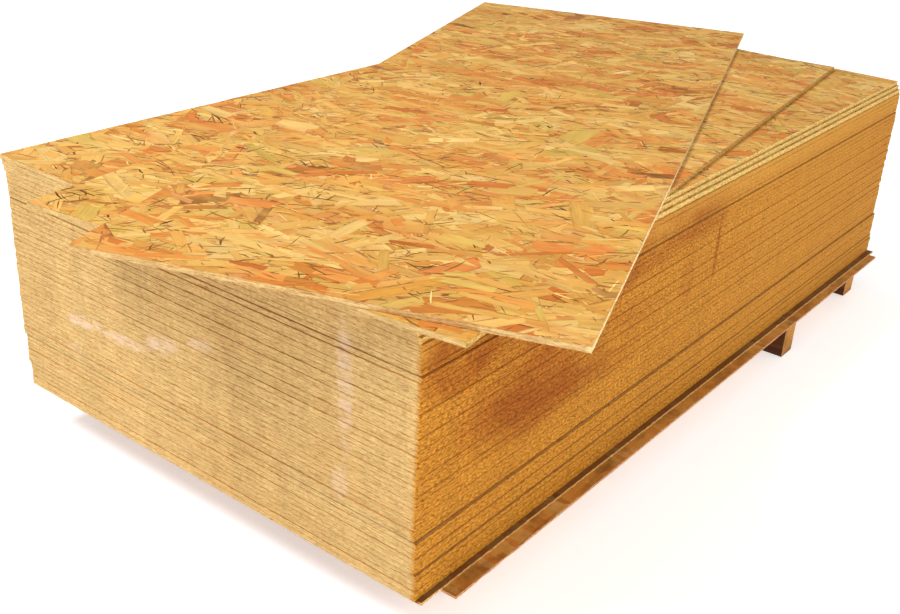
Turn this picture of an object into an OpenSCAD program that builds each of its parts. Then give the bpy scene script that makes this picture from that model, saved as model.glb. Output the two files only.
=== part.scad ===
// Stack of oriented strand boards on timber bearers, ready for a forklift.
// Two thin base boards lie on the bearers, an aligned block of boards stands on them,
// a few boards step sideways on top and two loose boards lie turned across the top.
// Origin: centre of the stack's footprint on the floor. X runs across the boards,
// Y along them and Z up. Millimetres.

/* [Boards] */

// Width of a board
board_w = 1220; // [1180:1:1250]

// Length of a board
board_l = 2440; // [2360:1:2500]

// Thickness of a board
board_t = 12.5; // [9:0.5:18]

// Boards in the aligned block
block_count = 44; // [16:1:46]

// Thickness of the two thin base boards
base_t = 6.25; // [5:0.25:9]

/* [Bearers] */

// Height of the timber bearers
bearer_h = 100; // [70:1:140]

// Thickness of the bearers along the stack
bearer_w = 75; // [45:1:100]

// Length of the bearers across the stack
bearer_l = 1200; // [1000:5:1300]

/* [Unevenness] */

// How far a block board may sit out of line
ragged = 1.1; // [0:0.1:3]

// How far a block board may be turned, in degrees
skew = 0.03; // [0:0.01:0.05]

// Sideways step of each stepped board over the one below
step_x = 6; // [0:1:30]

/* [Loose boards] */

// Width of the lower loose board
lower_w = 1020; // [900:5:1250]

// Length of the lower loose board
lower_l = 2440; // [2300:5:2500]

// Turn of the lower loose board, in degrees
lower_turn = 7.5; // [0:0.1:12]

// Width of the upper loose board
upper_w = 975; // [900:5:1250]

// Length of the upper loose board
upper_l = 2650; // [2300:5:2700]

// Turn of the upper loose board, in degrees
upper_turn = 19.8; // [5:0.1:22]

/* [Hidden] */

step_count = 3;
base_count = 2;

// Centres of the bearers along the stack, and how far each is pushed sideways
bearer_y = [-1000, -495, 10, 508, 1085];
bearer_x = [-32, -22, -30, 48, 20];
bearer_ease = 4;

// Base boards: sideways shift, shift along the stack and turn
carrier_shift = [20, 14];
carrier_turn = -0.15;
bottom_shift = [47, 31];
bottom_turn = 0.15;
bottom_l = 2350;
chip_w = 6;
chip_l = 195;

// Lifts of the block, from below: sideways and lengthways shift of each
first_lift = 5;
second_lift = 11;
last_lift = 5;
lift_shift = [[6, 5], [4, 2], [0, 0], [-2, 1]];

// Loose boards: where their centres lie
lower_centre = [45, -92];
upper_centre = [-28, -45];

base_z = bearer_h + base_count * base_t;
step_z = base_z + block_count * board_t;
loose_z = step_z + step_count * board_t;

// Small fixed irregularities, the same on every build
offset_x = rands(-1, 1, block_count, 11);
offset_y = rands(-1, 1, block_count, 23);
offset_turn = rands(-1, 1, block_count, 37);

function lift(i) =
    i <= first_lift ? 0
    : i <= second_lift ? 1
    : i <= block_count - last_lift ? 2
    : 3;

bearer_count = len(bearer_y);

// A flat board with its centre at the origin and its underside at Z = 0
module board(width = board_w, length = board_l, thickness = board_t) {
    translate([-width / 2, -length / 2, 0])
    cube([width, length, thickness]);
}

// Sawn timber bearer with eased long edges
module bearer(i) {
    half = bearer_w / 2;
    color("#8f6436")
    translate([bearer_x[i - 1] - bearer_l / 2, bearer_y[i - 1], 0])
    rotate([90, 0, 90])
    linear_extrude(height = bearer_l)
    polygon([
        [-half + bearer_ease, 0],
        [half - bearer_ease, 0],
        [half, bearer_ease],
        [half, bearer_h - bearer_ease],
        [half - bearer_ease, bearer_h],
        [-half + bearer_ease, bearer_h],
        [-half, bearer_h - bearer_ease],
        [-half, bearer_ease]
    ]);
}

// Shorter board on the bearers, with a strip chipped off one long edge
module bottom_board() {
    color("#a56a2c")
    translate([bottom_shift[0], bottom_shift[1], bearer_h])
    rotate([0, 0, bottom_turn])
    difference() {
        board(board_w, bottom_l, base_t);
        translate([board_w / 2 - chip_w, -bottom_l / 2 - 1, -1])
        cube([chip_w + 1, chip_l + 1, base_t + 2]);
    }
}

// Full board under the block, pushed a little sideways
module carrier_board() {
    color("#c08a45")
    translate([carrier_shift[0], carrier_shift[1], bearer_h + base_t])
    rotate([0, 0, carrier_turn])
    board(board_w, board_l, base_t);
}

// One board of the aligned block, counted from below
module block_board(i) {
    shift = lift_shift[lift(i)];
    color("#cf9a55")
    translate([
        shift[0] + ragged * offset_x[i - 1],
        shift[1] + ragged * offset_y[i - 1],
        base_z + (i - 1) * board_t
    ])
    rotate([0, 0, skew * offset_turn[i - 1]])
    board();
}

// One of the boards that step sideways above the block
module stepped_board(i) {
    color("#dcb06a")
    translate([-step_x * i, 0, step_z + (i - 1) * board_t])
    board();
}

// First loose board, turned across the top of the stack
module lower_loose_board() {
    color("#dda95f")
    translate([lower_centre[0], lower_centre[1], loose_z])
    rotate([0, 0, lower_turn])
    board(lower_w, lower_l);
}

// Second loose board, turned further and lying on the first
module upper_loose_board() {
    color("#e0ac60")
    translate([upper_centre[0], upper_centre[1], loose_z + board_t])
    rotate([0, 0, upper_turn])
    board(upper_w, upper_l);
}

for (i = [1 : bearer_count])
    bearer(i);
bottom_board();
carrier_board();
for (i = [1 : block_count])
    block_board(i);
for (i = [1 : step_count])
    stepped_board(i);
lower_loose_board();
upper_loose_board();
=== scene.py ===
"""The looks of a stack of oriented strand boards on timber bearers. Metres, +Z up, +Y along the boards."""

import math

import bpy
import numpy as np
from mathutils import Matrix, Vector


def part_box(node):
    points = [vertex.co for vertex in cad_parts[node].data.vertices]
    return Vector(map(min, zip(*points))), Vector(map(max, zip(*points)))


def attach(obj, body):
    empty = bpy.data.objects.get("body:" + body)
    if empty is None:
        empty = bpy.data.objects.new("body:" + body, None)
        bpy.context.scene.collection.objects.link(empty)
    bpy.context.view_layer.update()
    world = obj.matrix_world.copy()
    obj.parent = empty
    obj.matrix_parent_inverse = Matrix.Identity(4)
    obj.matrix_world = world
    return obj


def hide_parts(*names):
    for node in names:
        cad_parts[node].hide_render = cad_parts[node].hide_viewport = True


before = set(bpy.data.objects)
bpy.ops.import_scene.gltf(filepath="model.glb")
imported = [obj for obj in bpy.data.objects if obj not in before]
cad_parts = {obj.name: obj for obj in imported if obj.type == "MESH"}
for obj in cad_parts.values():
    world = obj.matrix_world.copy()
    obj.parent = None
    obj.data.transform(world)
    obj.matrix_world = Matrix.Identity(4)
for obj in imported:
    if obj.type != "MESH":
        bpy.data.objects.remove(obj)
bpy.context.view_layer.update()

# ---------------------------------------------------------------- sizes, in metres
EDGE_STEP = 0.012            # spacing of the points round a board's outline
ARRIS = 0.00045              # how far a board's sharp edges are worn back
EDGE_WANDER = 0.0005         # how far a sawn edge wanders inwards
# Heights of the rings of points round a board's edge, as shares of its thickness
LEVELS = (0.0, 0.08, 0.3, 0.5, 0.7, 0.92, 1.0)
FOOT_LEVELS = (0.0, 0.2, 0.2, 0.35, 0.5, 0.7, 0.92, 1.0)   # with a step, for the first board of a lift
FOOT_GAP = 0.0012            # how far the lower edge of a lift's first board is rubbed back
FLAKE_DEPTH = 0.0028         # deepest flake missing from an edge
FLAKES_A_METRE = 4
FACE_SINK = 0.0009           # the slab under the surface strands starts this far down
STRAND_THICK = 0.0008
STRAND_TOP = 0.00012         # the highest strands lie this far below the face
STRAND_LAYERS = 0.0006       # and the lowest this much further down
STRAND_TILT = 0.0016         # middling slope of a strand, as a share
STRAND_INSET = 0.0009        # strands end this far inside a board's outline
STRAND_SIZE = (0.112, 0.0230)  # middling length and width of a strand
SLIVER_SIZE = (0.038, 0.0030)
PATCH_WAVES = (11, 26)       # waves of the colour patches, radians in a metre along X and Y
STRAND_DENSITY = 1250        # strands on a square metre
SLIVER_DENSITY = 1150
STRAND_TURN = math.radians(8)    # the surface strands run across the board, give or take
STRAND_SPREAD = math.radians(36)
COVER_MARGIN = 0.03          # strands this far under a covering board are left out
BOARD_THICK = 0.0125
BASE_THICK = 0.00625         # the two boards under the block
BEARER_EASE = 0.005          # radius of a bearer's worn edges
BEARER_WANDER = 0.0011       # how uneven a bearer's faces are
BEARER_RINGS = 61            # rings of points along a bearer
BEARER_SIDE_PARTS = 5        # parts that each side of a ring is cut into

BEARERS = [n for n in sorted(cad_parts) if n.startswith("bearer_")]
BLOCK = [n for n in sorted(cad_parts) if n.startswith("block_board_")]
LIFT_FEET = ("block_board_6", "block_board_12", "block_board_40")   # first board of each lift
STEPPED = [n for n in sorted(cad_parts) if n.startswith("stepped_board_")]


# ---------------------------------------------------------------- small helpers
def shader_values(screen):
    """Screen values from 0 to 1 as the linear numbers that shaders use."""
    return np.where(screen <= 0.04045, screen / 12.92, ((screen + 0.055) / 1.055) ** 2.4)


def linear(r, g, b):
    """A 0 to 255 screen colour as a colour for shaders."""
    return tuple(shader_values(np.array([r, g, b]) / 255)) + (1.0,)


def number_in(name):
    """The number at the end of a node's name, or 0."""
    tail = name.rsplit("_", 1)[-1]
    return int(tail) if tail.isdigit() else 0


def generator(name):
    """Random numbers that depend only on a piece's name."""
    return np.random.default_rng([ord(c) for c in name])


def new_object(name, verts, faces, materials, face_material=None):
    mesh = bpy.data.meshes.new(name)
    mesh.from_pydata([tuple(v) for v in verts], [], faces)
    for m in materials:
        mesh.materials.append(m)
    if face_material is not None:
        mesh.polygons.foreach_set("material_index", np.asarray(face_material, np.int32))
    mesh.update()
    piece = bpy.data.objects.new(name, mesh)
    bpy.context.scene.collection.objects.link(piece)
    return piece


def add_uv(piece, name, corners):
    layer = piece.data.uv_layers.new(name=name, do_init=False)
    layer.uv.foreach_set("vector", np.asarray(corners, np.float32).ravel())


def add_value(piece, name, values):
    """One number at each vertex, for a material to read."""
    made = piece.data.attributes.new(name, "FLOAT", "POINT")
    made.data.foreach_set("value", np.asarray(values, np.float32))


# ---------------------------------------------------------------- where the boards are
class Place:
    """A board's place, read from its CAD node: its centre, directions, outline and heights."""

    def __init__(self, node):
        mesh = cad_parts[node].data
        at = np.array([v.co for v in mesh.vertices], float)
        side = max((p for p in mesh.polygons if abs(p.normal.z) < 0.5), key=lambda p: p.area)
        across = np.array(side.normal[:2], float)
        across *= math.copysign(1 / np.linalg.norm(across), across[0])
        self.axes = np.array([across, [-across[1], across[0]]])
        flat = at[:, :2] @ self.axes.T
        self.low, self.high = at[:, 2].min(), at[:, 2].max()
        middle = (flat.min(0) + flat.max(0)) / 2
        self.half = (flat.max(0) - flat.min(0)) / 2
        self.centre = middle @ self.axes
        w, l = self.half
        self.outline = [(-w, -l), (w, -l), (w, l), (-w, l)]
        inner = (flat - middle)[(np.abs(flat - middle) < self.half - 0.001).any(1)]
        if len(inner):  # a strip is chipped off the right edge, from the front end
            x, y = inner[:, 0].max(), inner[:, 1].max()
            self.outline = [(-w, -l), (x, -l), (x, y), (w, y), (w, l), (-w, l)]

    def world(self, local, z):
        """Points of the board's own plane, at these heights, in the shared frame."""
        return np.column_stack([self.centre + np.asarray(local) @ self.axes, z])

    def local(self, xy):
        return (np.asarray(xy) - self.centre) @ self.axes.T


# ---------------------------------------------------------------- board bodies
def wander(rng, places, total, step, low, high):
    """Smooth random numbers at these places round a closed edge."""
    knots = rng.uniform(low, high, max(int(total / step), 4))
    knots = np.append(knots, knots[0])
    return np.interp(places / total * (len(knots) - 1), np.arange(len(knots)), knots)


def ring_of(outline):
    """Points round an outline, the outward direction at each, and which of them lie on a long side."""
    corners = np.array(outline)
    points, normals, long_side = [], [], []
    for a, b in zip(corners, np.roll(corners, -1, axis=0)):
        run = b - a
        count = max(int(np.linalg.norm(run) / EDGE_STEP), 2)
        out = np.array([run[1], -run[0]]) / np.linalg.norm(run)
        share = np.arange(count)[:, None] / count
        points.append(a + run * share)
        normals.append(np.repeat(out[None], count, 0))
        long_side.append(np.full(count, float(abs(out[0]) > 0.5)))
    points, normals, long_side = map(np.concatenate, (points, normals, long_side))
    turned = normals + np.roll(normals, 1, axis=0)
    length = np.linalg.norm(turned, axis=1)[:, None]
    at_corner = length[:, 0] < 1.9
    normals[at_corner] = (turned / np.maximum(length, 1e-9) * math.sqrt(2))[at_corner]
    return points, normals, long_side


def build_board(node, name, materials, edge_rows=14, edge_share=0.72, sink=0.0):
    """A board as a slab with sawn, slightly ragged edges. sink lowers its upper face under its strands."""
    rng = generator(node)
    place = Place(node)
    points, normals, long_side = ring_of(place.outline)
    count = len(points)
    steps = np.linalg.norm(np.roll(points, -1, axis=0) - points, axis=1)
    along = np.concatenate([[0], np.cumsum(steps)[:-1]])
    total = steps.sum()
    thick = place.high - place.low
    levels = FOOT_LEVELS if node in LIFT_FEET else LEVELS

    drift = wander(rng, along, total, 0.35, 0, EDGE_WANDER)
    flakes = np.zeros((len(levels), count))
    for _ in range(int(total * FLAKES_A_METRE)):
        centre, width = rng.uniform(0, total), rng.uniform(0.006, 0.028)
        level, depth = rng.uniform(-0.1, 1.1), rng.uniform(0.3, 1) ** 2 * FLAKE_DEPTH
        away = np.abs(along - centre)
        away = np.minimum(away, total - away)
        shape = np.clip(1 - away / width, 0, 1)
        reach = np.clip(1 - np.abs(np.array(levels) - level) / 0.3, 0, 1)
        flakes = np.maximum(flakes, depth * shape * reach[:, None])
    rings, heights = [], []
    for i, level in enumerate(levels):
        worn = ARRIS * rng.uniform(0.5, 1.5, count) if level in (0.0, 1.0) else 0
        inset = drift + worn + flakes[i] + wander(rng, along, total, 0.02, 0, EDGE_WANDER)
        if node in LIFT_FEET and i < 2:
            inset = inset + FOOT_GAP * wander(rng, along, total, 0.3, 0.5, 1.0)
        rings.append(points - normals * inset[:, None])
        high = place.high - (sink if level == 1.0 else 0)
        z = place.low + level * thick
        heights.append(np.full(count, min(z, high)))
    verts = np.concatenate([place.world(r, z) for r, z in zip(rings, heights)])

    step = np.arange(count)
    after = (step + 1) % count
    faces, edge_uv, bake_uv = [], [], []
    per_row = math.ceil(count / edge_rows)
    row, column = step // per_row, step % per_row
    offset = number_in(node) * 7.3 + 1.7
    for i in range(len(levels) - 1):
        a, b = i * count, (i + 1) * count
        faces += np.column_stack([a + step, a + after, b + after, b + step]).tolist()
        s0, s1 = along + offset, along + steps + offset
        h0, h1 = (levels[j] * thick for j in (i, i + 1))
        h0, h1 = np.full(count, h0), np.full(count, h1)
        edge_uv.append(np.stack([np.column_stack(p) for p in ((s0, h0), (s1, h0), (s1, h1), (s0, h1))], 1))
        u0, u1 = column / per_row, (column + 1) / per_row
        v0, v1 = ((row + 0.08 + 0.84 * levels[j]) / edge_rows * edge_share for j in (i, i + 1))
        bake_uv.append(np.stack([np.column_stack(p) for p in ((u0, v0), (u1, v0), (u1, v1), (u0, v1))], 1))
    edge_uv, bake_uv = (np.concatenate(x).reshape(-1, 2) for x in (edge_uv, bake_uv))
    sides = len(faces)
    top = ((len(levels) - 1) * count + step).tolist()
    faces += [top, step[::-1].tolist()]
    for k, ring in enumerate((rings[-1], rings[0][::-1])):
        edge_uv = np.concatenate([edge_uv, ring])
        share = (ring / place.half + 1) / 2
        u = 0.005 + 0.49 * share[:, 0] + 0.5 * k
        v = edge_share + 0.01 + (0.98 - edge_share) * share[:, 1]
        bake_uv = np.concatenate([bake_uv, np.column_stack([u, v])])
    piece = new_object(name, verts, faces, materials, [1] * sides + [0, 0])
    add_uv(piece, "edge", edge_uv)
    add_uv(piece, "OFBake", bake_uv)
    tone = rng.uniform(-1, 1)
    add_value(piece, "tone", np.full(len(verts), tone))
    add_value(piece, "long_side", np.tile(long_side, len(levels)))
    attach(piece, "root")
    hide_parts(node)
    return piece


# ---------------------------------------------------------------- surface strands
# Share of the strands, screen colour, and how much each strand's colour varies, from pale to dark.
# Neighbours in a list also lie near each other on a board, so that its colours run in patches.
STRAND_KINDS = [
    (0.16, (214, 174, 98), 6),
    (0.34, (206, 157, 76), 6),
    (0.08, (198, 161, 75), 5),
    (0.19, (202, 145, 63), 6),
    (0.13, (200, 128, 52), 7),
    (0.07, (193, 112, 43), 8),
    (0.02, (176, 112, 42), 9),
    (0.01, (146, 92, 32), 9),
]
# Thin slivers, from pale to dark. The dark ones are partly dark strands and partly painted shade in the cracks
# between strands.
SLIVER_KINDS = [
    (0.20, (230, 190, 112), 9),
    (0.36, (140, 86, 30), 12),
    (0.20, (116, 94, 32), 10),
    (0.24, (78, 42, 14), 10),
]


def pick_colours(rng, kinds, at):
    """A colour for a strand at each of these places. Strands near each other tend to be alike."""
    count = len(at)
    waves, phase = rng.normal(0, PATCH_WAVES, (7, 2)), rng.uniform(0, 2 * math.pi, 7)
    field = np.sin(at @ waves.T + phase).sum(1) / 2 + rng.normal(0, 1.15, count)
    rank = (np.argsort(np.argsort(field)) + 0.5) / count
    edges = np.cumsum([k[0] for k in kinds])
    chosen = np.searchsorted(edges / edges[-1], rank)
    base = np.array([k[1] for k in kinds], float)[chosen]
    spread = np.array([k[2] for k in kinds], float)[chosen]
    shade = rng.normal(0, 1, (count, 1)) * spread[:, None]
    warm = rng.normal(0, 0.35, (count, 1)) * spread[:, None] * np.array([0.4, 0.0, -1.0])
    return np.clip(base + shade + warm, 12, 250)


def clipped(points, half):
    """A convex outline cut to the rectangle of this half size."""
    for axis in (0, 1):
        for sign in (1, -1):
            kept = []
            for a, b in zip(points, points[1:] + points[:1]):
                da, db = half[axis] - sign * a[axis], half[axis] - sign * b[axis]
                if da >= 0:
                    kept.append(a)
                if (da > 0) != (db > 0) and da != db:
                    t = da / (da - db)
                    kept.append((a[0] + t * (b[0] - a[0]), a[1] + t * (b[1] - a[1])))
            points = kept
            if len(points) < 3:
                return []
    return points


def broad_outlines(rng, count, length, width):
    """Long outlines with two split ends and slightly bowed sides, about their own centre."""
    l = length * np.exp(rng.normal(0, 0.36, count))
    w = np.minimum(width * np.exp(rng.normal(0, 0.45, count)), l * 0.5)
    slant = rng.uniform(-0.45, 0.45, (2, count)) * w
    across = np.array([-1.0, -0.35, 0.3, 1.0])[:, None] * w / 2
    ends = []
    for side in (0, 1):
        split = rng.uniform(0.0, 0.09, (4, count)) * l
        ends.append(l / 2 - split + across / w * slant[side])
    bow = rng.uniform(-0.12, 0.16, (2, count)) * w
    mid = rng.uniform(-0.2, 0.2, (2, count)) * l
    x = np.concatenate([mid[:1], ends[0], mid[1:], -ends[1][::-1]])
    y = np.concatenate([-w[None] / 2 - bow[:1], across, w[None] / 2 + bow[1:], across[::-1]])
    return np.stack([x.T, y.T], 2), l, w


def sliver_outlines(rng, count, length, width):
    """Thin outlines that taper to both ends."""
    l = length * np.exp(rng.normal(0, 0.45, count))
    w = width * np.exp(rng.normal(0, 0.35, count))
    bend = rng.uniform(-0.8, 0.8, count) * w
    thin = rng.uniform(0.15, 0.5, (2, count)) * w
    zero = np.zeros(count)
    x = np.stack([-l / 2, zero, l / 2, l / 2, zero, -l / 2], 1)
    y = np.stack([-thin[0] / 2, bend - w / 2, -thin[1] / 2, thin[1] / 2, bend + w / 2, thin[0] / 2], 1)
    return np.stack([x, y], 2), l, w


def build_strands(node, name, material, covers=()):
    """The pressed strands of a board's upper face, each a thin closed chip, as one mesh."""
    rng = generator(name)
    place = Place(node)
    area = 4 * place.half[0] * place.half[1]
    wide, thin = int(area * STRAND_DENSITY), int(area * SLIVER_DENSITY)
    count = wide + thin
    broad, l1, w1 = broad_outlines(rng, wide, *STRAND_SIZE)
    narrow, l2, w2 = sliver_outlines(rng, thin, *SLIVER_SIZE)
    shapes = list(broad) + list(narrow)
    lengths, widths = np.concatenate([l1, l2]), np.concatenate([w1, w2])
    centres = rng.uniform(-1, 1, (count, 2)) * place.half
    colours = np.concatenate([pick_colours(rng, STRAND_KINDS, centres[:wide]),
                              pick_colours(rng, SLIVER_KINDS, centres[wide:])])
    turns = STRAND_TURN + rng.normal(0, STRAND_SPREAD, count)
    depth = rng.uniform(0.0, 1.0, count)
    depth[wide:] = rng.uniform(0.0, 0.25, thin)
    tilts = rng.normal(0, STRAND_TILT, (count, 2))
    offsets = rng.uniform(0, 50, (count, 2))
    shading = rng.normal(1, 0.03, (count, 6))
    half = place.half - STRAND_INSET
    others = [Place(c) for c in covers]
    cos, sin = np.cos(turns), np.sin(turns)

    verts, faces, paint, grain, local, flat = [], [], [], [], [], []
    for k in np.argsort(-depth):
        c, s = cos[k], sin[k]
        shape = shapes[k]
        at = shape @ np.array([[c, s], [-s, c]]) + centres[k]
        inside = (np.abs(at) < half).all()
        outline = [tuple(p) for p in at] if inside else clipped([tuple(p) for p in at], half)
        if len(outline) < 3:
            continue
        at = np.array(outline)
        world = place.world(at, np.zeros(len(at)))[:, :2]
        if any((np.abs(o.local(world)) < o.half - COVER_MARGIN).all() for o in others):
            continue
        own = (at - centres[k]) @ np.array([[c, -s], [s, c]])
        drop = STRAND_TOP + STRAND_LAYERS * depth[k] + own @ tilts[k]
        drop = np.clip(drop, 0.00002, FACE_SINK)
        upper = place.high - drop
        lower = upper - STRAND_THICK
        n, base = len(at), len(verts)
        verts += np.column_stack([world, upper]).tolist() + np.column_stack([world, lower]).tolist()
        ring = list(range(base, base + n))
        under = list(range(base + n, base + 2 * n))
        sides = [[ring[i], under[i], under[(i + 1) % n], ring[(i + 1) % n]] for i in range(n)]
        faces += [ring, under[::-1]] + sides
        tint = colours[k] * np.resize(shading[k], n)[:, None]
        paint += tint.tolist() * 2
        grain += (own + offsets[k]).tolist() * 2
        local += (own * 2 / (lengths[k], widths[k])).tolist() * 2
        flat += ((at / place.half + 1) / 2).tolist() * 2
    piece = new_object(name, verts, faces, [material])
    corner = np.empty(len(piece.data.loops), np.int32)
    piece.data.loops.foreach_get("vertex_index", corner)
    add_uv(piece, "grain", np.array(grain)[corner])
    add_uv(piece, "local", np.array(local)[corner])
    add_uv(piece, "OFBake", np.array(flat)[corner])
    shown = shader_values(np.clip(np.array(paint) / 255, 0, 1))
    made = piece.data.attributes.new("strand_colour", "FLOAT_COLOR", "POINT")
    made.data.foreach_set("color", np.column_stack([shown, np.ones(len(shown))]).astype(np.float32).ravel())
    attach(piece, "root")
    return piece


# ---------------------------------------------------------------- materials
LIFT_SHADE_LINES = (0.75, 0.95, 0.8)   # how dark the painted shade line under each lift's first board is
# Marks on the block's faces: place along the face and height, half sizes, turn in degrees, strength. The two
# stains high up at 0.60 on the right face are painted shade under the loose boards' overhang; the rest are
# stains and chalky smears.
STAINS_AND_SHADE = [((-0.72, 0.44), (0.46, 0.17), 0, 0.9), ((-0.50, 0.60), (0.62, 0.10), 0, 0.8),
          ((-1.10, 0.60), (0.16, 0.10), 0, 0.9), ((-0.05, 0.50), (0.012, 0.12), 0, 0.7),
          ((-0.20, 0.46), (0.05, 0.09), 0, 0.35), ((0.39, 0.38), (0.012, 0.11), 0, 0.6)]
SMEARS = [((-0.36, 0.368), (0.085, 0.020), 8, 0.62), ((-0.22, 0.372), (0.10, 0.018), 4, 0.5),
          ((-0.09, 0.410), (0.07, 0.030), 14, 0.55), ((0.03, 0.452), (0.05, 0.020), 10, 0.35),
          ((-0.40, 0.282), (0.035, 0.028), 0, 0.4), ((0.432, 0.52), (0.026, 0.19), 2, 0.42),
          ((0.425, 0.30), (0.03, 0.05), 0, 0.3)]


class Maker:
    """Adds nodes to one material. Inputs may be numbers, colours or other nodes' outputs."""

    def __init__(self, name):
        self.material = bpy.data.materials.new(name)
        self.material.use_nodes = True
        self.tree = self.material.node_tree
        self.shader = self.tree.nodes["Principled BSDF"]

    def node(self, kind, inputs=None, **settings):
        made = self.tree.nodes.new("ShaderNode" + kind)
        for key, value in settings.items():
            setattr(made, key, value)
        for key, value in (inputs or {}).items():
            self.put(made.inputs[key], value)
        return made

    def put(self, socket, value):
        if isinstance(value, bpy.types.NodeSocket):
            self.tree.links.new(value, socket)
        else:
            socket.default_value = value

    def math(self, operation, a, b=0.0):
        made = self.node("Math", operation=operation)
        for i, value in enumerate((a, b)):
            self.put(made.inputs[i], value)
        return made.outputs[0]

    def smooth(self, value, low, high):
        """0 below low and 1 above high, smooth between."""
        made = self.node("MapRange", {"Value": value, "From Min": low, "From Max": high},
                         interpolation_type="SMOOTHSTEP")
        return made.outputs["Result"]

    def span(self, value, low, high, start, end):
        made = self.node("MapRange", {"Value": value, "From Min": low, "From Max": high,
                                      "To Min": start, "To Max": end})
        return made.outputs["Result"]

    def scaled(self, vector, scale, rotation=(0, 0, 0), location=(0, 0, 0)):
        made = self.node("Mapping", {"Vector": vector, "Scale": scale, "Rotation": rotation,
                                     "Location": location})
        return made.outputs["Vector"]

    def noise(self, vector, scale=1.0, detail=3.0, roughness=0.5, distortion=0.0):
        made = self.node("TexNoise", {"Vector": vector, "Scale": scale, "Detail": detail,
                                      "Roughness": roughness, "Distortion": distortion})
        return made.outputs["Fac"]

    def mix(self, share, a, b, blend="MIX"):
        made = self.node("Mix", data_type="RGBA", blend_type=blend)
        for i, value in ((0, share), (6, a), (7, b)):
            self.put(made.inputs[i], value)
        return made.outputs[2]

    def lerp(self, share, a, b):
        """A number between a and b."""
        made = self.node("Mix", data_type="FLOAT")
        for i, value in ((0, share), (2, a), (3, b)):
            self.put(made.inputs[i], value)
        return made.outputs[0]

    def ramp(self, value, stops, step=False):
        made = self.node("ValToRGB", {"Fac": value})
        made.color_ramp.interpolation = "CONSTANT" if step else "LINEAR"
        points = made.color_ramp.elements
        while len(points) < len(stops):
            points.new(1.0)
        for point, (at, colour) in zip(points, stops):
            point.position, point.color = at, colour
        return made.outputs["Color"]

    def grey(self, value):
        return self.node("CombineColor", {0: value, 1: value, 2: value}).outputs[0]

    def bump(self, height, strength, distance):
        made = self.node("Bump", {"Height": height, "Strength": strength, "Distance": distance})
        return made.outputs["Normal"]

    def finish(self, colour, roughness, normal=None, specular=0.3):
        self.put(self.shader.inputs["Base Color"], colour)
        self.put(self.shader.inputs["Roughness"], roughness)
        self.put(self.shader.inputs["Specular IOR Level"], specular)
        if normal is not None:
            self.put(self.shader.inputs["Normal"], normal)
        return self.material


def strand_material():
    """Pressed strands: each has its own colour, grain along it and a painted shadow line along its edges,
    stronger on one side.
    """
    m = Maker("pressed_strands")
    own = m.node("Attribute", attribute_name="strand_colour").outputs["Color"]
    grain = m.node("UVMap", uv_map="grain").outputs["UV"]
    local = m.node("SeparateXYZ", {"Vector": m.node("UVMap", uv_map="local").outputs["UV"]})
    place = m.node("TexCoord").outputs["Object"]
    fibre = m.noise(m.scaled(grain, (11, 230, 1)), detail=5, roughness=0.68)
    fine = m.noise(m.scaled(grain, (28, 800, 1)), detail=2)
    broad = m.noise(m.scaled(grain, (9, 46, 1)), detail=3)
    value = m.math("ADD", m.span(fibre, 0.3, 0.7, 0.80, 1.16), m.span(broad, 0.3, 0.7, -0.07, 0.07))
    colour = m.mix(1.0, own, m.grey(value), "MULTIPLY")
    # Resin and pale sapwood run over several strands in long soft patches.
    runs = m.scaled(place, (3.0, 12.0, 1.0), (0, 0, math.radians(-30)))
    resin = m.noise(runs, detail=5, roughness=0.62)
    colour = m.mix(m.span(resin, 0.52, 0.68, 0.0, 0.55), colour, linear(204, 116, 42))
    pale = m.noise(m.scaled(runs, (1, 1, 1), location=(5, 3, 0)), detail=5, roughness=0.62)
    colour = m.mix(m.span(pale, 0.50, 0.68, 0.0, 0.5), colour, linear(220, 174, 90))
    streaky = m.smooth(m.noise(m.scaled(grain, (0.8, 0.8, 1))), 0.45, 0.62)
    streak = m.math("MULTIPLY", m.smooth(fibre, 0.54, 0.68), streaky)
    colour = m.mix(m.math("MULTIPLY", streak, 0.5), colour, linear(190, 96, 32))
    line = m.smooth(fine, 0.60, 0.70)
    colour = m.mix(m.math("MULTIPLY", line, 0.30), colour, linear(150, 92, 36))
    # Painted shadow: a dark line along the strand's edges, stronger on one long side, in broken patches.
    rim_shade_v = m.math("MAXIMUM", m.smooth(local.outputs["Y"], 0.76, 0.98),
                   m.math("MULTIPLY", m.smooth(local.outputs["Y"], -0.84, -1.0), 0.5))
    rim_shade_u = m.smooth(m.math("ABSOLUTE", local.outputs["X"]), 0.93, 1.0)
    rim_shade = m.math("MAXIMUM", rim_shade_v, rim_shade_u)
    patch = m.smooth(m.noise(m.scaled(grain, (24, 60, 1)), detail=2), 0.42, 0.58)
    colour = m.mix(m.math("MULTIPLY", m.math("MULTIPLY", rim_shade, patch), 0.72), colour, linear(118, 66, 22))
    speck = m.smooth(m.noise(place, scale=210, detail=2, roughness=0.7), 0.68, 0.76)
    colour = m.mix(m.math("MULTIPLY", speck, 0.5), colour, linear(104, 64, 24))
    height = m.math("ADD", m.math("MULTIPLY", fibre, 0.7), m.math("MULTIPLY", fine, 0.3))
    normal = m.bump(height, 0.6, 0.0008)
    return m.finish(colour, m.span(fibre, 0.3, 0.7, 0.55, 0.75), normal, 0.2)


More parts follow.
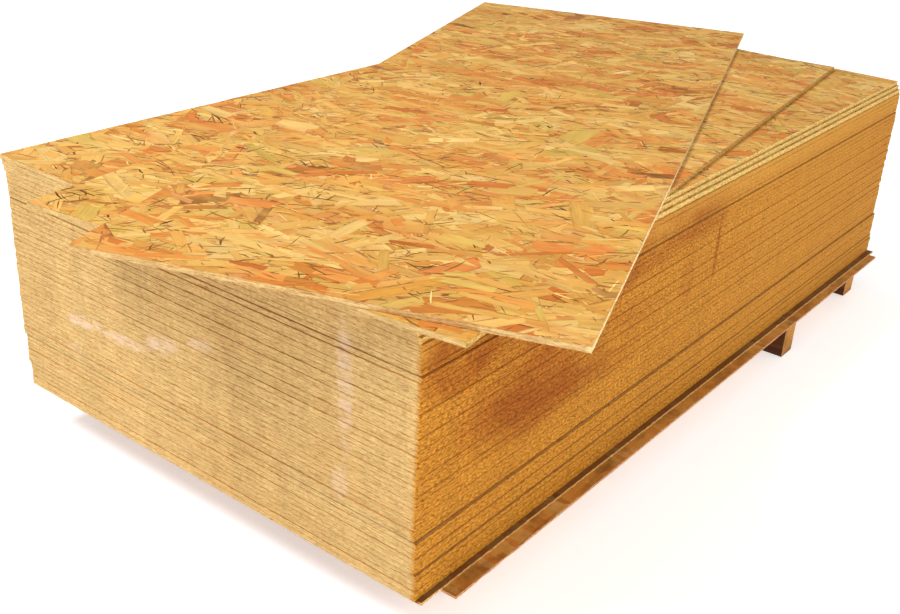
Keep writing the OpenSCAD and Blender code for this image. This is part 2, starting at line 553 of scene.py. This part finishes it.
def face_material(name, tint, shade, blotch=0.0):
    """A plain pressed face: layers of long cells at several angles, each cell a strand."""
    m = Maker(name)
    place = m.node("TexCoord").outputs["Object"]
    warp = m.node("TexNoise", {"Vector": place, "Scale": 9.0, "Detail": 2.0}).outputs["Color"]
    place = m.node("VectorMath", {0: place, 1: m.node("VectorMath", {0: warp, 1: (0.02, 0.02, 0.0)},
                   operation="MULTIPLY").outputs[0]}, operation="ADD").outputs[0]
    stops = [(0.0, (150, 96, 48)), (0.04, (198, 132, 68)), (0.12, (226, 148, 82)), (0.28, (230, 170, 96)),
             (0.45, (234, 190, 112)), (0.72, (241, 207, 132)), (0.92, (204, 182, 104))]
    stops = [(at, linear(*(np.array(c) * shade))) for at, c in stops]
    colour = linear(220, 170, 96)
    height = 0.5
    for i, angle in enumerate((4, 32, -25, 60, -60)):
        cells = m.scaled(place, (11.0, 48.0, 1.0), (0, 0, math.radians(-angle)), (i * 3.7, i * 1.9, 0))
        cell = m.node("TexVoronoi", {"Vector": cells, "Scale": 1.0, "Randomness": 1.0},
                      voronoi_dimensions="2D")
        pick = m.node("SeparateColor", {0: cell.outputs["Color"]})
        grain = m.noise(m.scaled(cells, (1.2, 9.0, 1.0)), detail=4, roughness=0.6)
        layer = m.ramp(pick.outputs[0], stops, step=True)
        value = m.span(grain, 0.3, 0.7, 0.82, 1.12)
        layer = m.mix(1.0, layer, m.grey(value), "MULTIPLY")
        shown = m.math("GREATER_THAN", pick.outputs[1], 0.0 if i == 0 else 0.62)
        colour = m.mix(shown, colour, layer)
        height = m.lerp(shown, height, m.math("ADD", pick.outputs[2], m.math("MULTIPLY", grain, 0.4)))
    speck = m.smooth(m.noise(place, scale=210, detail=2, roughness=0.7), 0.68, 0.77)
    colour = m.mix(m.math("MULTIPLY", speck, 0.6), colour, linear(88, 54, 26))
    dirt = m.noise(place, scale=5.0, detail=5, roughness=0.6)
    colour = m.mix(m.span(dirt, 0.3, 0.6, 0.5 * tint[3], tint[3]), colour, linear(*tint[:3]))
    if blotch:
        damp = m.noise(m.scaled(place, (14, 8, 8), location=(2, 9, 4)), detail=4, roughness=0.65)
        colour = m.mix(m.span(damp, 0.46, 0.64, 0.0, blotch), colour, linear(98, 56, 16))
    return m.finish(colour, m.span(dirt, 0.3, 0.7, 0.55, 0.78), m.bump(height, 0.5, 0.0005))


def smear(m, x, z, centre, size, turn):
    """1 in the middle of a slanting oval on an upright face, 0 outside it."""
    dx, dz = m.math("SUBTRACT", x, centre[0]), m.math("SUBTRACT", z, centre[1])
    c, s = math.cos(math.radians(turn)), math.sin(math.radians(turn))
    u = m.math("ADD", m.math("MULTIPLY", dx, c / size[0]), m.math("MULTIPLY", dz, s / size[0]))
    v = m.math("ADD", m.math("MULTIPLY", dx, -s / size[1]), m.math("MULTIPLY", dz, c / size[1]))
    far = m.math("SQRT", m.math("ADD", m.math("MULTIPLY", u, u), m.math("MULTIPLY", v, v)))
    return m.math("SUBTRACT", 1.0, m.smooth(far, 0.45, 1.0))


def edge_material(name, ends, sides, contrast=1.0, thick=BOARD_THICK):
    """A sawn edge: short layered strands along it, dark pores, and painted shade in broken dashes where two
    boards meet.

    ends and sides are the dark, middle and pale screen colours of the short and the long sides.
    """
    m = Maker(name)
    uv = m.node("UVMap", uv_map="edge").outputs["UV"]
    across = m.node("SeparateXYZ", {"Vector": uv}).outputs["Y"]
    place = m.node("TexCoord").outputs["Object"]
    tone = m.node("Attribute", attribute_name="tone").outputs["Fac"]
    long_side = m.node("Attribute", attribute_name="long_side").outputs["Fac"]

    layers = m.noise(m.scaled(uv, (20, 330, 1)), detail=5, roughness=0.65)
    chips = m.noise(m.scaled(uv, (95, 330, 1)), detail=3, roughness=0.7)
    flecks = m.noise(m.scaled(uv, (110, 260, 1), location=(7, 5, 0)), detail=3, roughness=0.6)
    fine = m.math("ADD", m.math("MULTIPLY", layers, 0.62), m.math("MULTIPLY", chips, 0.38))
    value = m.math("ADD", m.span(chips, 0.3, 0.7, 1.0 - 0.10 * contrast, 1.0 + 0.09 * contrast),
                   m.math("MULTIPLY", tone, 0.035))
    runs = m.noise(m.scaled(place, (30, 30, 2.2)), detail=3)
    value = m.math("MULTIPLY", value, m.span(runs, 0.35, 0.65, 0.95, 1.05))
    shown = [m.ramp(share, [(low, linear(*dark)), (0.46, linear(*mid)), (0.56, linear(*pale)),
                            (0.68, linear(*np.minimum(np.array(pale) * 1.12, 250)))])
             for share, low, (dark, mid, pale) in ((fine, 0.34, ends), (flecks, 0.32, sides))]
    colour = m.mix(long_side, *shown)
    colour = m.mix(1.0, colour, m.grey(value), "MULTIPLY")

    pores = m.noise(m.scaled(uv, (110, 330, 1), location=(3, 7, 0)), detail=1)
    pore = m.smooth(pores, m.lerp(long_side, 0.70, 0.62), m.lerp(long_side, 0.76, 0.72))
    pore_share = m.math("MULTIPLY", pore, m.lerp(long_side, 0.55, 0.7 * contrast))
    colour = m.mix(pore_share, colour, linear(98, 52, 14))
    # Painted shade: broken dark dashes along the top and bottom of each edge, where two boards meet.
    edge_far = m.math("ABSOLUTE", m.math("SUBTRACT", m.math("DIVIDE", across, thick), 0.5))
    meeting = m.smooth(edge_far, 0.32, 0.47)
    broken = m.noise(m.scaled(uv, (64, 30, 1), location=(11, 2, 0)), detail=3, roughness=0.7)
    seam_shade = m.math("MULTIPLY", meeting, m.smooth(broken, 0.44, 0.58))
    seam_shade_share = m.math("MULTIPLY", seam_shade, m.lerp(long_side, 0.40, 0.50 * contrast))
    colour = m.mix(seam_shade_share, colour, linear(108, 60, 18))
    raised = m.math("SUBTRACT", m.lerp(long_side, fine, flecks), m.math("MULTIPLY", pore, 0.5))
    height = m.math("SUBTRACT", raised, m.math("MULTIPLY", seam_shade, 0.4))
    normal = m.bump(height, m.lerp(long_side, 0.6, 0.35), 0.0011)
    return m, colour, normal


def edge_marks_and_shade(m, colour):
    """The block's marks and painted shade: painted shade lines under each lift, damp stains with painted shade
    high on the right face, chalky smears and dust.
    """
    place = m.node("TexCoord").outputs["Object"]
    at = m.node("SeparateXYZ", {"Vector": place})
    x, y, z = (at.outputs[c] for c in "XYZ")
    long_side = m.node("Attribute", attribute_name="long_side").outputs["Fac"]
    drift = m.noise(place, scale=26, detail=2)
    # Painted shade: a dark line along the gap under the first board of each lift.
    for node, strength in zip(LIFT_FEET, LIFT_SHADE_LINES):
        away = m.math("ABSOLUTE", m.math("SUBTRACT", z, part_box(node)[0][2] + 0.0006))
        line = m.math("SUBTRACT", 1.0, m.smooth(away, 0.0009, 0.0026))
        line = m.math("MULTIPLY", line, m.span(drift, 0.35, 0.6, 0.55, 1.0))
        line = m.math("MULTIPLY", line, m.lerp(long_side, 0.45 * strength, strength))
        colour = m.mix(line, colour, linear(70, 28, 6))
    # The long sides blend towards a paler tan near the top and towards an orange tan at the far end.
    upper = m.math("MULTIPLY", m.smooth(z, 0.58, 0.655), long_side)
    colour = m.mix(m.math("MULTIPLY", upper, 0.45), colour, linear(212, 158, 70))
    lower = m.math("MULTIPLY", m.smooth(y, -0.5, 0.7), long_side)
    colour = m.mix(m.math("MULTIPLY", lower, 0.35), colour, linear(198, 136, 48))
    cloud = m.noise(m.scaled(place, (1.0, 0.9, 2.6)), scale=2.2, detail=5, roughness=0.6)
    right_face = m.math("MULTIPLY", long_side, m.math("GREATER_THAN", x, 0.0))
    # Stains on the right face; the two high bands near the top are painted shade under the loose boards'
    # overhang.
    for centre, size, turn, strength in STAINS_AND_SHADE:
        shape = m.math("MULTIPLY", smear(m, y, z, centre, size, turn), m.smooth(cloud, 0.30, 0.60))
        colour = m.mix(m.math("MULTIPLY", m.math("MULTIPLY", shape, right_face), strength), colour,
                       linear(206, 164, 110), "MULTIPLY")
    colour = m.mix(m.span(cloud, 0.5, 0.75, 0.0, 0.3), colour, linear(228, 202, 160), "MULTIPLY")
    thin = m.noise(m.scaled(place, (26, 26, 60)), detail=5, roughness=0.7)
    dust = 0.0
    for centre, size, turn, strength in SMEARS:
        dust = m.math("MAXIMUM", dust, m.math("MULTIPLY", smear(m, x, z, centre, size, turn), strength))
    front_face = m.math("MULTIPLY", m.math("SUBTRACT", 1.0, long_side), m.math("LESS_THAN", y, 0.0))
    dust = m.math("MULTIPLY", m.math("MULTIPLY", dust, front_face), m.smooth(thin, 0.36, 0.60))
    return m.mix(dust, colour, linear(226, 198, 176))


def timber_material():
    """Rough-sawn timber: grain along X, rings and cracks on the ends, dirt on the long faces, whose dark
    browns are partly weathering and partly painted shade; darker near the floor.
    """
    m = Maker("sawn_timber")
    place = m.node("TexCoord").outputs["Object"]
    at = m.node("SeparateXYZ", {"Vector": place})
    end = m.node("Attribute", attribute_name="end").outputs["Fac"]
    tone = m.node("Attribute", attribute_name="tone").outputs["Fac"]
    grain = m.noise(m.scaled(place, (2.2, 75, 75)), detail=6, roughness=0.62, distortion=0.5)
    saw = m.noise(m.scaled(place, (260, 8, 8)), detail=2)
    # The long faces' dark browns are partly weathering and partly painted shade, as the bearers stand in shade
    # under the stack.
    side = m.ramp(grain, [(0.30, linear(50, 22, 8)), (0.50, linear(84, 42, 17)), (0.68, linear(120, 70, 32))])
    u = m.node("Attribute", attribute_name="pith_u").outputs["Fac"]
    v = m.node("Attribute", attribute_name="pith_v").outputs["Fac"]
    far = m.math("SQRT", m.math("ADD", m.math("MULTIPLY", u, u), m.math("MULTIPLY", v, v)))
    wobble = m.noise(m.scaled(place, (1, 30, 30)), detail=2)
    rings = m.math("SINE", m.math("ADD", m.math("MULTIPLY", far, 1250.0), m.math("MULTIPLY", wobble, 9.0)))
    ends = m.ramp(m.span(rings, -1, 1, 0, 1), [(0.0, linear(160, 98, 34)), (0.55, linear(204, 140, 56)),
                                               (1.0, linear(218, 158, 74))])
    angle = m.math("ARCTAN2", v, u)
    crack = m.smooth(m.noise(m.node("CombineXYZ", {"X": m.math("MULTIPLY", angle, 9.0), "Y": tone}).outputs[0],
                             scale=1.0, detail=2), 0.66, 0.72)
    ends = m.mix(m.math("MULTIPLY", crack, 0.8), ends, linear(70, 38, 18))
    colour = m.mix(end, side, ends)
    dirt = m.noise(place, scale=14.0, detail=5, roughness=0.65)
    colour = m.mix(m.span(dirt, 0.42, 0.72, 0.0, 0.55), colour, linear(92, 56, 28))
    # Darker towards the bottom, within 3 cm of the floor.
    low = m.smooth(at.outputs["Z"], 0.0, 0.03)
    colour = m.mix(m.span(low, 0, 1, 0.4, 0.0), colour, linear(70, 46, 28))
    height = m.math("ADD", m.math("MULTIPLY", grain, 0.7), m.math("MULTIPLY", saw, 0.3))
    return m.finish(colour, m.span(dirt, 0.3, 0.7, 0.7, 0.9), m.bump(height, 0.7, 0.0012), 0.2)


# ---------------------------------------------------------------- bearers
def build_bearer(node, material):
    """A sawn timber with worn edges, slightly uneven faces and its own pith for the end grain."""
    rng = generator(node)
    low, high = (np.array(c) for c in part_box(node))
    centre, half = (low + high) / 2, (high - low) / 2
    ease, round_steps = BEARER_EASE, 3
    section = []
    for sy, sz, start in ((1, 1, 0), (-1, 1, 90), (-1, -1, 180), (1, -1, 270)):
        for i in range(round_steps + 1):
            a = math.radians(start + 90 * i / round_steps)
            section.append((sy * (half[1] - ease) + ease * math.cos(a),
                            sz * (half[2] - ease) + ease * math.sin(a)))
        next_corner = {0: (-1, 1), 90: (-1, -1), 180: (1, -1), 270: (1, 1)}[start]
        last = section[-1]
        goal = (next_corner[0] * (half[1] - ease) if start in (0, 180) else last[0],
                next_corner[1] * (half[2] - ease) if start in (90, 270) else last[1])
        for i in range(1, BEARER_SIDE_PARTS):
            t = i / BEARER_SIDE_PARTS
            section.append((last[0] + (goal[0] - last[0]) * t, last[1] + (goal[1] - last[1]) * t))
    section = np.array(section)
    xs = np.linspace(-half[0], half[0], BEARER_RINGS)
    count = len(section)
    verts = []
    along = np.linspace(0, 1, len(xs))
    uneven = np.array([wander(rng, along, 1.0, 0.04, 0, BEARER_WANDER) for _ in range(count)]).T
    for x, row in zip(xs, uneven):
        shrink = np.column_stack([section[:, 0] * (1 - row / half[1]), section[:, 1] * (1 - row / half[2])])
        shrink[:, 1] = np.where(np.abs(section[:, 1]) > half[2] - 0.001, section[:, 1], shrink[:, 1])
        verts += np.column_stack([np.full(count, x), shrink]).tolist()
    verts = np.array(verts) + centre
    step = np.arange(count)
    after = (step + 1) % count
    faces = []
    for i in range(len(xs) - 1):
        a, b = i * count, (i + 1) * count
        faces += np.column_stack([a + step, a + after, b + after, b + step]).tolist()
    first_end = len(faces)
    faces += [step[::-1].tolist(), ((len(xs) - 1) * count + step).tolist()]
    # The ends have vertices of their own, so that their values stop at the corner.
    ends = np.concatenate([verts[:count], verts[-count:]])
    base = len(verts)
    faces[first_end] = (base + step[::-1]).tolist()
    faces[first_end + 1] = (base + count + step).tolist()
    verts = np.concatenate([verts, ends])
    piece = new_object(node + "_timber", verts, faces, [material])
    is_end = np.zeros(len(verts))
    is_end[base:] = 1
    add_value(piece, "end", is_end)
    add_value(piece, "tone", np.full(len(verts), rng.uniform(-1, 1)))
    pith = centre[1:] + rng.uniform(-0.6, 0.6, 2) * half[1:]
    add_value(piece, "pith_u", verts[:, 1] - pith[0])
    add_value(piece, "pith_v", verts[:, 2] - pith[1])
    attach(piece, "root")
    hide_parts(node)
    return piece


# ---------------------------------------------------------------- build the stack
END_TONES = ((150, 106, 56), (193, 155, 97), (209, 175, 114))     # the boards' short edges
SIDE_TONES = ((138, 76, 10), (180, 115, 26), (203, 140, 46))      # their long edges, darker and more orange: partly the strands' own look, partly painted shade of the block's shaded right side


def plain_edge(*args, **settings):
    m, colour, normal = edge_material(*args, **settings)
    return m.finish(colour, 0.8, normal, 0.15)


def block_edge_material():
    m, colour, normal = edge_material("block_edge", END_TONES, SIDE_TONES)
    return m.finish(edge_marks_and_shade(m, colour), 0.8, normal, 0.15)


strands = strand_material()
face = face_material("pressed_face", (190, 130, 62, 0.4), 0.9)
# Painted shade: the block boards' faces are darker and browner than the plain face, so that the narrow ledges
# at the lift steps read as shaded.
ledge_shade_face = face_material("ledge_shade_face", (184, 126, 54, 0.85), 0.85)
# Painted shade: the carrier's faces are dark brown, for the shaded groove under the block's lowest board.
groove_shade_face = face_material("shaded_face", (116, 66, 12, 0.9), 0.62)
old_face = face_material("weathered_face", (196, 130, 42, 0.9), 0.95, blotch=0.6)
block_edge = block_edge_material()
stepped_edge = plain_edge("stepped_edge", END_TONES, ((164, 116, 46), (216, 176, 92), (230, 196, 116)), 0.5)
lower_edge = plain_edge("lower_edge", END_TONES, ((140, 100, 40), (188, 148, 74), (212, 176, 100)), 0.6)
cream_edge = plain_edge("cream_edge", ((138, 92, 46), (194, 152, 94), (218, 182, 122)),
                        ((190, 146, 84), (226, 192, 126), (242, 216, 160)), 0.4)
# Painted shade: the carrier's short edges are dark brown, for the shade under the block's front.
carrier_edge = plain_edge("carrier_edge", ((70, 40, 14), (104, 64, 26), (140, 92, 44)),
                          ((140, 90, 36), (204, 152, 80), (224, 180, 110)), 0.6, BASE_THICK)
bottom_edge = plain_edge("bottom_edge", ((130, 78, 44), (190, 134, 88), (210, 160, 116)),
                         ((130, 78, 44), (194, 136, 88), (214, 162, 114)), 0.7, BASE_THICK)

for node in BLOCK:
    board = build_board(node, node.replace("block_board", "board"), [ledge_shade_face, block_edge])
for node in STEPPED:
    board = build_board(node, node.replace("_board", "_sheet"), [face, stepped_edge], edge_rows=10,
                        edge_share=0.5, sink=FACE_SINK if node == STEPPED[-1] else 0.0)
for node, edge in (("lower_loose_board", lower_edge), ("upper_loose_board", cream_edge)):
    board = build_board(node, node.replace("_board", "_sheet"), [face, edge], edge_rows=8, edge_share=0.35,
                        sink=FACE_SINK)
for node, under, edge, slot in (("carrier_board", groove_shade_face, carrier_edge, "base_osb"),
                                ("bottom_board", old_face, bottom_edge, "weathered_osb")):
    board = build_board(node, node.replace("_board", "_sheet"), [under, edge], edge_rows=10, edge_share=0.5)

for node, covers in (("upper_loose_board", ()), ("lower_loose_board", ("upper_loose_board",)),
                     (STEPPED[-1], ("upper_loose_board", "lower_loose_board"))):
    piece = build_strands(node, node.replace("_board", "_strands"), strands, covers)

timber = timber_material()
for node in BEARERS:
    build_bearer(node, timber)


# ---------------------------------------------------------------- studio
FLOOR_HALF = 40.0
LIGHT_TARGET = (0, 0, 0.4)
CAMERA_AT = (1.668, -2.583, 1.566)
CAMERA_TURNS = (-36.48, 25.60, -3.56)     # azimuth, elevation and roll, in degrees
CAMERA_LENS, SENSOR_WIDTH = 46.04, 36.0   # in millimetres


def build_floor():
    corners = [(x * FLOOR_HALF, y * FLOOR_HALF, 0) for x, y in ((-1, -1), (1, -1), (1, 1), (-1, 1))]
    floor = new_object("floor", corners, [[0, 1, 2, 3]], [])
    m = Maker("studio_floor")
    m.finish((0.90, 0.90, 0.90, 1), 0.9, specular=0.0)
    m.put(m.shader.inputs["Emission Color"], (1, 1, 1, 1))
    m.put(m.shader.inputs["Emission Strength"], 0.46)
    floor.data.materials.append(m.material)


def area_light(name, at, size, power):
    """A round soft light that points at the middle of the stack."""
    lamp = bpy.data.lights.new(name, "AREA")
    lamp.shape, lamp.size, lamp.energy = "DISK", size, power
    holder = bpy.data.objects.new(name, lamp)
    bpy.context.scene.collection.objects.link(holder)
    back = np.array(at) - np.array(LIGHT_TARGET, float)
    back /= np.linalg.norm(back)
    side = np.cross((0, 0, 1), back)
    side /= np.linalg.norm(side)
    up = np.cross(back, side)
    holder.matrix_world = Matrix([[side[i], up[i], back[i], at[i]] for i in range(3)] + [[0, 0, 0, 1]])


def build_camera():
    """Looks from the front right corner, from above, with the slight tilt of a hand-held shot."""
    azimuth, elevation, roll = (math.radians(a) for a in CAMERA_TURNS)
    ahead = np.array([math.sin(azimuth) * math.cos(elevation), math.cos(azimuth) * math.cos(elevation),
                      -math.sin(elevation)])
    right = np.array([math.cos(azimuth), -math.sin(azimuth), 0])
    down = np.cross(ahead, right)
    x = math.cos(roll) * right + math.sin(roll) * down
    y = math.sin(roll) * right - math.cos(roll) * down
    lens = bpy.data.cameras.new("camera")
    lens.sensor_width, lens.lens = SENSOR_WIDTH, CAMERA_LENS
    holder = bpy.data.objects.new("camera", lens)
    bpy.context.scene.collection.objects.link(holder)
    holder.matrix_world = Matrix([[x[i], y[i], -ahead[i], CAMERA_AT[i]] for i in range(3)] + [[0, 0, 0, 1]])
    bpy.context.scene.camera = holder


def build_world():
    world = bpy.data.worlds.new("studio")
    world.use_nodes = True
    background = world.node_tree.nodes["Background"]
    background.inputs["Color"].default_value = (1.0, 1.0, 1.0, 1)
    background.inputs["Strength"].default_value = 0.55
    bpy.context.scene.world = world


build_floor()
build_world()
area_light("key", (-2.4, -3.6, 6.0), 3.0, 410)
area_light("fill", (5.5, -2.0, 3.4), 4.0, 130)
build_camera()
bpy.context.scene.view_settings.view_transform = "Standard"
